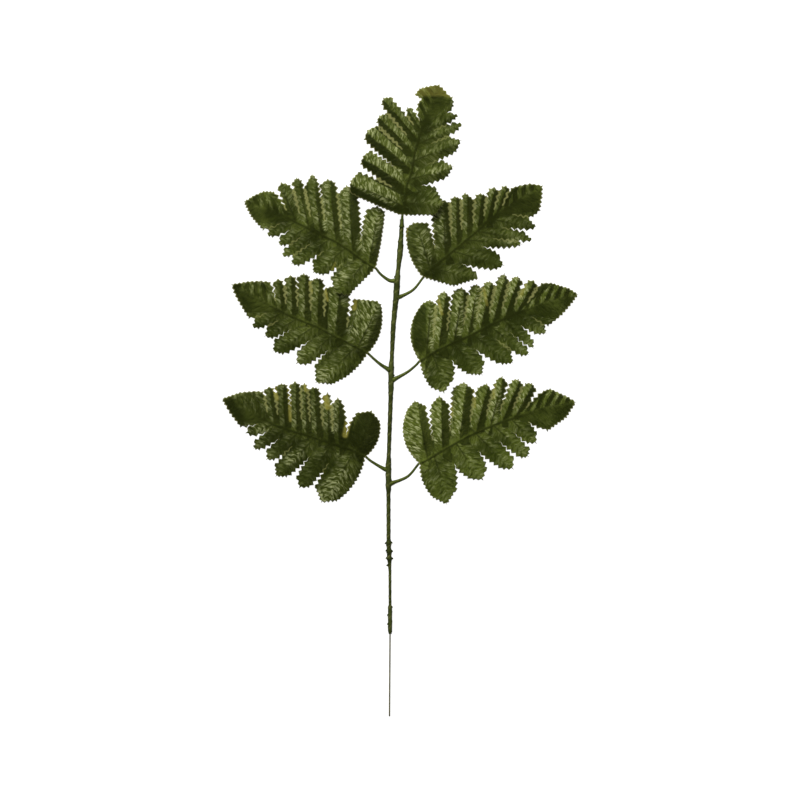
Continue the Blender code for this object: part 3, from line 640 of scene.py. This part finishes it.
def bumpFrom(tree, shader, relief, strength, distance):
    bump = node(tree, "ShaderNodeBump")
    bump.inputs["Strength"].default_value = strength
    bump.inputs["Distance"].default_value = distance
    link(tree, relief, bump.inputs["Height"])
    link(tree, bump.outputs[0], shader.inputs["Normal"])


def noiseOf(tree, coordinates, scale, detail=3.0, distortion=0.0):
    made = node(tree, "ShaderNodeTexNoise")
    made.inputs["Distortion"].default_value = distortion
    made.inputs["Scale"].default_value = scale
    made.inputs["Detail"].default_value = detail
    link(tree, coordinates, made.inputs["Vector"])
    return made.outputs["Fac"]


# the dyed greens from deep to light, which also give the flanks' painted shade and painted light; a pale cream for
# painted sheen highlights; a gold for the cut edge's painted highlight; a near black for painted shade in creases,
# partly print; and the cloth's lighter back
leafColours = {
    "deep": (0.009, 0.0135, 0.0015, 1), "body": (0.040, 0.057, 0.006, 1), "light": (0.082, 0.105, 0.016, 1),
    "sheenHighlight": (0.40, 0.42, 0.21, 1), "cut": (0.25, 0.25, 0.09, 1),
    "crease": (0.007, 0.010, 0.001, 1), "pale": (0.26, 0.235, 0.045, 1),
}

leafCloth = {
    "roughness": 0.5, "roughFrom": 0.36, "roughTo": 0.52, "specular": 0.14,
    "crumpleScale": 430.0, "crumpleSqueeze": 0.48,
    "blotchScale": 52.0, "mottleScale": 420.0, "smudgeScale": 170.0,
    "sheenStreaks": 0.68, "dark": 0.8, "litPatches": 0.9,
    # ramps below set the flanks' painted shade and light, where the painted sheen falls, and the painted shade in
    # hollows
    "lighter": [(0.4, 0.0), (0.7, 0.9)], "paintedShadeOnFlank": [(0.0, 0.95), (0.45, 0.0)],
    "paintedLightOnFlank": [(0.55, 0.0), (1.0, 0.55)], "shine": [(0.49, 0.0), (0.64, 1.0)],
    "sheenPatches": [(0.42, 0.12), (0.60, 1.0)], "sheenOnLitFlank": [(0.3, 0.05), (0.95, 1.0)],
    "sheenAwayFromRib": [(0.02, 0.3), (0.2, 1.0)], "hollowShade": [(0.30, 1.0), (0.48, 0.0)],
    "veinHollowShade": [(0.3, 0.0), (1.0, 0.35)], "cutEdgeHighlight": [(0.1, 0.5), (0.5, 0.0)],
    "threadScale": 900.0, "crumpleRelief": 7.0, "bump": 0.9, "bumpDepth": 0.00035,
}


def leafFabric(name, sheenAmount, depth):
    material, tree, shader = newMaterial("leafFabric_" + name, leafCloth)
    # depth darkens this leaf's copy of the fabric: painted shade, leaf by leaf
    green = {key: (*[part * depth for part in leafColours[key][:3]], 1) for key in ("deep", "body", "light")}
    place = objectPlace(tree)
    uv = node(tree, "ShaderNodeUVMap", uv_map="lobeUv").outputs[0]
    # the crumple runs with the side veins, so its coordinates are squeezed along them
    squeeze = node(tree, "ShaderNodeMapping")
    squeeze.inputs["Scale"].default_value = (leafCloth["crumpleSqueeze"], 1.0, 1.0)
    link(tree, uv, squeeze.inputs["Vector"])
    crumple = noiseOf(tree, squeeze.outputs[0], leafCloth["crumpleScale"], 5.0, 0.9)
    blotch = noiseOf(tree, place, leafCloth["blotchScale"], 3.0)
    mottle = noiseOf(tree, place, leafCloth["mottleScale"], 2.0)
    smudge = noiseOf(tree, place, leafCloth["smudgeScale"], 2.0)
    vein = attributeOf(tree, "vein")
    fromMidrib = times(tree, attributeOf(tree, "fromMidrib"), 0.02)
    outFromRib = ramp(tree, fromMidrib, [(0.0, 0.0), (1.0, 1.0)])
    # greens, darker near the midrib in the print; painted shade on the flanks that face away from the light and
    # painted light on those that face it
    colour = mixColour(tree, outFromRib, green["deep"], green["body"])
    colour = mixColour(tree, ramp(tree, blotch, leafCloth["lighter"]), colour, green["light"])
    flank = mathOf(tree, "ADD", times(tree, attributeOf(tree, "flank"), 0.5), 0.5)
    colour = mixColour(tree, ramp(tree, flank, leafCloth["paintedShadeOnFlank"]), colour, green["deep"])
    colour = mixColour(tree, ramp(tree, flank, leafCloth["paintedLightOnFlank"]), colour, green["light"])
    # painted sheen: light streaks in patches, a painted highlight kept to the flanks that face the light and to the
    # lit strips
    shine = ramp(tree, crumple, leafCloth["shine"])
    sheenPatches = mathOf(tree, "ADD", times(tree, blotch, 0.55), times(tree, smudge, 0.45))
    sheenPatches = ramp(tree, sheenPatches, leafCloth["sheenPatches"])
    sheenPatches = times(tree, sheenPatches, ramp(tree, flank, leafCloth["sheenOnLitFlank"]))
    lit = times(tree, attributeOf(tree, "lit"), leafCloth["litPatches"])
    sheenPatches = mathOf(tree, "MAXIMUM", sheenPatches, lit)
    sheenPatches = times(tree, sheenPatches, ramp(tree, outFromRib, leafCloth["sheenAwayFromRib"]))
    sheenStreaks = times(tree, times(tree, shine, sheenPatches), leafCloth["sheenStreaks"] * sheenAmount)
    colour = mixColour(tree, sheenStreaks, colour, leafColours["sheenHighlight"])
    # painted shade in the crumple's and the veins' hollows, then the midrib's dark lines, the cut edge's painted
    # highlight and the cloth's back
    dark = ramp(tree, crumple, leafCloth["hollowShade"])
    colour = mixColour(tree, times(tree, dark, leafCloth["dark"]), colour, green["deep"])
    hollowShade = ramp(tree, times(tree, vein, -1.0), leafCloth["veinHollowShade"])
    colour = mixColour(tree, hollowShade, colour, green["deep"])
    # dark crease lines by the midrib and on the crests: painted shade, partly print
    colour = mixColour(tree, attributeOf(tree, "rib"), colour, leafColours["crease"])
    # a painted highlight where the cut edge catches the light
    cutEdgeHighlight = ramp(tree, times(tree, attributeOf(tree, "edge"), 0.5), leafCloth["cutEdgeHighlight"])
    colour = mixColour(tree, cutEdgeHighlight, colour, leafColours["cut"])
    colour = mixColour(tree, attributeOf(tree, "pale"), colour, leafColours["pale"])
    link(tree, colour, shader.inputs["Base Color"])
    sheen = ramp(tree, mottle, [(0.2, leafCloth["roughFrom"]), (0.8, leafCloth["roughTo"])])
    link(tree, sheen, shader.inputs["Roughness"])
    # a plain weave with the crumple pressed into it
    weave = node(tree, "ShaderNodeTexWave", wave_type="BANDS", bands_direction="X")
    weft = node(tree, "ShaderNodeTexWave", wave_type="BANDS", bands_direction="Y")
    for thread in (weave, weft):
        thread.inputs["Scale"].default_value = leafCloth["threadScale"]
        link(tree, place, thread.inputs["Vector"])
    cloth = times(tree, weave.outputs["Fac"], weft.outputs["Fac"])
    relief = mathOf(tree, "ADD", cloth, times(tree, crumple, leafCloth["crumpleRelief"]))
    bumpFrom(tree, shader, relief, leafCloth["bump"], leafCloth["bumpDepth"])
    return material


plasticLook = {
    "roughness": 0.42, "specular": 0.15, "scale": 300.0, "detail": 3.0, "spread": [(0.35, 0.0), (0.7, 1.0)],
    "dark": (0.015, 0.021, 0.0035, 1), "light": (0.036, 0.048, 0.009, 1), "bump": 0.3, "bumpDepth": 0.0002,
}
tapeLook = {
    "roughness": 0.62, "specular": 0.15, "scale": 90.0, "detail": 2.0, "spread": [(0.35, 0.0), (0.7, 1.0)],
    "crepeScale": 650.0, "crepeDetail": 4.0, "edgeShown": [(0.3, 0.0), (1.0, 0.7)],
    "dark": (0.010, 0.014, 0.003, 1), "light": (0.027, 0.034, 0.008, 1), "edge": (0.12, 0.115, 0.04, 1),
    "bump": 0.5, "bumpDepth": 0.00025,
}
wireLook = {
    "roughness": 0.38, "specular": 0.15, "scale": 220.0, "detail": 3.0, "spread": [(0.3, 0.0), (0.75, 1.0)],
    "metallic": 0.35, "dark": (0.05, 0.045, 0.022, 1), "light": (0.13, 0.12, 0.065, 1),
}


def mottledMaterial(name, look):
    # the colour goes between the look's dark and light by a noise
    material, tree, shader = newMaterial(name, look)
    mottle = noiseOf(tree, objectPlace(tree), look["scale"], look["detail"])
    colour = mixColour(tree, ramp(tree, mottle, look["spread"]), look["dark"], look["light"])
    link(tree, colour, shader.inputs["Base Color"])
    return material, tree, shader, mottle, colour


def mouldedGreen():
    material, tree, shader, mottle, _ = mottledMaterial("mouldedGreenPlastic", plasticLook)
    bumpFrom(tree, shader, mottle, plasticLook["bump"], plasticLook["bumpDepth"])
    return material


def stemTape():
    material, tree, shader, _, colour = mottledMaterial("woundStemTape", tapeLook)
    edge = ramp(tree, attributeOf(tree, "tapeEdge"), tapeLook["edgeShown"])
    link(tree, mixColour(tree, edge, colour, tapeLook["edge"]), shader.inputs["Base Color"])
    crepe = noiseOf(tree, objectPlace(tree), tapeLook["crepeScale"], tapeLook["crepeDetail"])
    bumpFrom(tree, shader, crepe, tapeLook["bump"], tapeLook["bumpDepth"])
    return material


def drawnWire():
    material, _, shader, _, _ = mottledMaterial("drawnSteelWire", wireLook)
    shader.inputs["Metallic"].default_value = wireLook["metallic"]
    return material


# Tubes
def addPiece(name, mesh, material, nodeName):
    piece = addToScene(name, mesh)
    mesh.materials.append(material)
    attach(piece, "root")
    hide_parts(nodeName)
    return piece


def smoothRoute(points, step):
    # a Catmull-Rom curve through the points, read about every step millimetres
    route = []
    padded = [points[0] * 2 - points[1]] + list(points) + [points[-1] * 2 - points[-2]]
    for before, first, second, after in zip(padded, padded[1:], padded[2:], padded[3:]):
        count = max(1, round((second - first).length / step))
        for index in range(count):
            t = index / count
            route.append(0.5 * ((2 * first) + (second - before) * t
                                + (2 * before - 5 * first + 4 * second - after) * t ** 2
                                + (3 * first - before - 3 * second + after) * t ** 3))
    route.append(points[-1])
    return route


def sweepTube(bm, route, radii, sides, shapeRing=None):
    # a disc is extruded station by station and turned to follow the route
    made = bmesh.ops.create_circle(bm, cap_ends=True, radius=1.0, segments=sides)
    ring = made["verts"]
    unit = [vert.co.copy() for vert in ring]
    cap = ring[0].link_faces[0]
    footRing = list(cap.verts)
    direction = Vector((0, 0, 1))
    turn = direction.rotation_difference(direction)
    for station, place in enumerate(route):
        heading = (route[min(station + 1, len(route) - 1)] - route[max(station - 1, 0)]).normalized()
        turn = direction.rotation_difference(heading) @ turn
        direction = heading
        if station:
            corners = list(cap.verts)
            order = [ring.index(corner) for corner in corners]
            cap = bmesh.ops.extrude_discrete_faces(bm, faces=[cap])["faces"][0]
            raised = list(cap.verts)
            ring = [raised[order.index(index)] for index in range(sides)]
        for index, vert in enumerate(ring):
            scale = radii[station] * (shapeRing(station, index / sides) if shapeRing else 1.0)
            vert.co = (place + turn @ (unit[index] * scale)) * mm
    bm.faces.new(footRing)  # the extrusion takes the first disc away


def tubeMesh(name, runs, sides):
    bm = bmesh.new()
    for route, radii in runs:
        sweepTube(bm, route, radii, sides)
    bmesh.ops.recalc_face_normals(bm, faces=bm.faces[:])
    for face in bm.faces:
        face.smooth = len(face.verts) == 4
    return meshFrom(bm, name)


# Stem
stem = {
    "rows": [
        (-8.8, -207, 1.3), (-8.8, -204, 1.9), (-8.8, -184, 1.9), (-8.8, -181, 1.25), (-8.9, -152, 1.25),
        (-9.3, -143, 1.7), (-9.4, -140.4, 2.6), (-9.5, -138, 1.9), (-9.6, -134, 2.6), (-9.8, -131, 1.9),
        (-10.0, -126.5, 2.6), (-10.1, -124, 1.8), (-10.2, -84, 1.8), (-10.2, -76, 2.5), (-10.2, -58, 2.5),
        (-9.9, -48, 1.8), (-8.3, 0, 2.0), (-7.9, 14, 2.5), (-7.8, 28, 2.5), (-7.2, 38, 1.8),
        (-5.9, 66, 2.2), (-4.2, 84, 2.4), (-3.3, 91, 2.7), (-2.6, 105, 2.7), (-1.6, 115, 1.9),
        (0.2, 132, 2.6), (1.2, 148, 1.9), (1.8, 160, 1.7),
    ],
    "height": 2.75, "liftFrom": 30.0, "liftOver": 130.0, "topHeight": 7.6,
    "wireFoot": (-9.3, -280.0, 2.75), "wireRadius": 0.68, "wireTop": 128.0,
    "tapePitch": 9.0, "tapeLip": 0.14, "tapeRough": 0.05, "tearThickness": 0.18,
    "step": 0.8, "sides": 20, "wireStep": 4.0, "wireSides": 14,
    # torn ends: y, length, side
    "tears": [(-140, 3.2, 1.0), (-139.6, 3.0, -1.0), (-133.5, 3.2, 1.0), (-133, 2.8, -1.0), (-126, 3.2, 1.0),
              (-126.5, 3.2, -1.0), (-146, 3.4, -1.0), (-183, 2.2, 1.0), (-190, 2.6, -1.0), (-198, 2.6, -1.0),
              (109, 2.8, -1.0), (22, 2.6, 1.0), (140, 2.2, -1.0), (-60, 2.4, -1.0), (-71, 2.6, 1.0)],
}


def stemHeight(y):
    lift = float(smoothStep((y - stem["liftFrom"]) / stem["liftOver"]))
    return stem["height"] + (stem["topHeight"] - stem["height"]) * lift


def stemCentre(y):
    rows = stem["rows"]
    for (x0, y0, _), (x1, y1, _) in zip(rows, rows[1:]):
        if y <= y1:
            return Vector((x0 + (x1 - x0) * (y - y0) / (y1 - y0), y, stemHeight(y)))
    return Vector((rows[-1][0], y, stemHeight(y)))


def stemRadius(y):
    rows = stem["rows"]
    for (_, y0, r0), (_, y1, r1) in zip(rows, rows[1:]):
        if y <= y1:
            return r0 + (r1 - r0) * float(smoothStep((y - y0) / (y1 - y0)))
    return rows[-1][2]


def addWrap(material):
    ys = np.arange(stem["rows"][0][1], stem["rows"][-1][1], stem["step"])
    route = [stemCentre(y) for y in ys]
    radii = [stemRadius(y) for y in ys]

    def tapeRing(station, turn):
        # the tape's edge climbs round the stem, and its crepe is uneven
        phase = (ys[station] / stem["tapePitch"] + turn) % 1.0
        lip = stem["tapeLip"] * (phase ** 3)
        angle = turn * 2 * math.pi
        rough = stem["tapeRough"] * noise.noise(Vector((ys[station] * 0.5, math.cos(angle), math.sin(angle))))
        return 1.0 + lip + rough

    bm = bmesh.new()
    sweepTube(bm, route, radii, stem["sides"], tapeRing)
    for face in bm.faces:
        face.smooth = len(face.verts) == 4
    # torn ends of tape that stand off the stem
    for y, size, hand in stem["tears"]:
        centre = stemCentre(y)
        start = Vector((centre.x + hand * stemRadius(y) * 0.75, y, centre.z + 0.4))
        corners = [(0.0, -1.2, 0.0), (0.0, 1.1, 0.15), (hand * 0.9 * size * 0.45, 0.5, 0.5),
                   (hand * size * 0.55, -0.9, 0.35)]
        verts = [bm.verts.new((start + Vector(corner)) * mm) for corner in corners]
        flake = bmesh.ops.extrude_face_region(bm, geom=[bm.faces.new(verts)])["geom"]
        raised = [item for item in flake if isinstance(item, bmesh.types.BMVert)]
        bmesh.ops.translate(bm, verts=raised, vec=(0, 0, stem["tearThickness"] * mm))
    bmesh.ops.recalc_face_normals(bm, faces=bm.faces[:])
    edgeLayer = bm.verts.layers.float.new("tapeEdge")
    for vert in bm.verts:
        y = vert.co.y / mm
        centre = stemCentre(y)
        turn = math.atan2(vert.co.z / mm - centre.z, vert.co.x / mm - centre.x) / (2 * math.pi)
        vert[edgeLayer] = ((y / stem["tapePitch"] + turn) % 1.0) ** 6
    return addPiece("stemWrap", meshFrom(bm, "stemWrap"), material, "stem_wrap")


def addWire(material):
    foot = Vector(stem["wireFoot"])
    inside = [stemCentre(row[1]) for row in stem["rows"] if row[1] < stem["wireTop"] - 2]
    route = smoothRoute([foot] + inside + [stemCentre(stem["wireTop"])], stem["wireStep"])
    radii = [stem["wireRadius"]] * len(route)
    mesh = tubeMesh("stemWire", [(route, radii)], stem["wireSides"])
    return addPiece("stemWire", mesh, material, "stem_wire")


# Ribs
ribs = {
    "radius": 1.1, "endRadius": 0.45, "span": 0.62, "steps": 24, "gap": 0.35, "tuck": 0.6, "sides": 12,
    "sideRadius": 0.42, "sideSpan": 0.4, "sideCount": 5, "sideSteps": 5, "sideThin": 0.08,
    "sideDrop": 0.25, "rootDrop": 0.5,
    "stalkRadius": 1.5, "stalkStep": 1.6, "stalkStart": 1.3, "foot": 1.1, "footFade": 0.4,
}


def surfaceHeight(shape, plan, points):
    return bladeSurface(np.array([[point.x, point.y] for point in points]), shape, plan)["height"]


def addRib(name, shape, plan, material):
    # the stalk leaves the stem, then runs under the blade with side ribs under the lobes' crests
    under = blade["thickness"] + ribs["gap"]
    stations = [index / ribs["steps"] * ribs["span"] for index in range(ribs["steps"] + 1)]
    spine = [pointAt(plan["midrib"], station) for station in stations]
    heights = surfaceHeight(shape, plan, spine)
    radii = [ribs["radius"] + (ribs["endRadius"] - ribs["radius"]) * station / ribs["span"] for station in stations]
    spine = [Vector((*point, height - under - radius - blade["ribRise"] * ribs["tuck"]))
             for point, height, radius in zip(spine, heights, radii)]
    start = stemCentre(shape["stalk"][0][1])
    stalk = [start]
    flat = [Vector(point) for point in shape["stalk"]] + [plan["midrib"][0]]
    travelled = runLengths(flat)
    for point, run in zip(flat[1:-1], travelled[1:-1]):
        rise = float(smoothStep(run / travelled[-1]))
        stalk.append(Vector((*point, start.z + (spine[0].z - start.z) * rise)))
    if name != "terminal":
        stalk[0] = start + (stalk[1] - start).normalized() * ribs["stalkStart"]
    route = smoothRoute(stalk + [spine[0]], ribs["stalkStep"])[:-1] + spine
    stalkCount = len(route) - len(spine)
    swell = [math.exp(-index * ribs["footFade"]) for index in range(stalkCount)]  # the tape covers the stalk's foot
    thin = [smoothStep(index / stalkCount) for index in range(stalkCount)]
    allRadii = [ribs["stalkRadius"] + (radii[0] - ribs["stalkRadius"]) * float(part) + ribs["foot"] * more
                for part, more in zip(thin, swell)] + radii
    runs = [(route, allRadii)]
    for crest in plan["crests"][:ribs["sideCount"]] + plan["crests"][plan["highCount"]:][:ribs["sideCount"]]:
        parts = range(ribs["sideSteps"] + 1)
        places = [crest[0].lerp(crest[1], ribs["sideSpan"] * part / ribs["sideSteps"]) for part in parts]
        tops = surfaceHeight(shape, plan, places)
        thin = [ribs["sideRadius"] * (1 - ribs["sideThin"] * part) for part in parts]
        drops = [ribs["sideDrop"] if part else ribs["rootDrop"] for part in parts]
        runs.append(([Vector((*place, top - under - radius - drop))
                      for place, top, radius, drop in zip(places, tops, thin, drops)], thin))
    mesh = tubeMesh("rib_" + name, runs, ribs["sides"])
    return addPiece("rib_" + name + "_fine", mesh, material, "rib_" + name)


# Leaves on their ribs
def addLeaf(name, shape, plan, material):
    mesh = leafMesh("leaf_" + name, shape, plan)
    piece = addPiece("leaf_" + name + "_fine", mesh, material, "leaf_" + name)
    thick = piece.modifiers.new("cloth", "SOLIDIFY")
    thick.thickness = blade["thickness"] * mm
    thick.offset = -1.0
    return piece


# Studio, in metres
studio = {
    "floorSize": 8.0, "floorTone": 0.12, "floorGlow": 0.97, "world": 0.42,
    "lights": [("key", (-0.5, 1.2, 1.0), 0.8, 58.0), ("fill", (0.2, 0.3, 1.6), 1.0, 9.0)],
    "floorLook": {"roughness": 0.9, "specular": 0.0},
    "lens": 85.0, "sensor": 36.0, "frameSize": 0.7072, "focusHeight": 0.005,
}


def addFloorAndLight():
    bm = bmesh.new()
    bmesh.ops.create_grid(bm, x_segments=1, y_segments=1, size=studio["floorSize"])
    mesh = meshFrom(bm, "floor")
    floor = addToScene("floor", mesh)
    material, _, shader = newMaterial("paleFloor", studio["floorLook"])
    shader.inputs["Base Color"].default_value = (*[studio["floorTone"]] * 3, 1)
    shader.inputs["Emission Color"].default_value = (1, 1, 1, 1)  # a light table, so that no shadow shows
    shader.inputs["Emission Strength"].default_value = studio["floorGlow"]
    mesh.materials.append(material)
    for name, place, width, power in studio["lights"]:
        lamp = bpy.data.lights.new(name, "AREA")
        lamp.size = width
        lamp.energy = power
        holder = addToScene(name, lamp)
        holder.location = place
        holder.rotation_euler = (-Vector(place)).to_track_quat("-Z", "Y").to_euler()
    world = bpy.data.worlds.new("soft room")
    world.use_nodes = True
    background = world.node_tree.nodes["Background"]
    background.inputs["Color"].default_value = (1, 1, 1, 1)
    background.inputs["Strength"].default_value = studio["world"]
    bpy.context.scene.world = world
    bpy.context.scene.view_settings.view_transform = "Standard"


def addCamera():
    # straight down, with the photograph's 800 pixels at 0.884 mm each
    camera = bpy.data.cameras.new("camera")
    camera.lens = studio["lens"]
    camera.sensor_width = studio["sensor"]
    height = studio["frameSize"] * camera.lens / camera.sensor_width
    holder = addToScene("camera", camera)
    holder.location = (0, 0, height + studio["focusHeight"])
    bpy.context.scene.camera = holder


addCamera()
plastic = mouldedGreen()
for name, shape in leafShapes.items():
    plan = leafPlan(shape)
    addRib(name, shape, plan, plastic)
    leaf = addLeaf(name, shape, plan, leafFabric(name, shape["sheenStrength"], shape["depth"]))
    print("leaf", name, len(leaf.data.polygons), "triangles before its thickness")
addWire(drawnWire())
addWrap(stemTape())
print("stem wire and wrap")
addFloorAndLight()
print("floor, light and camera")
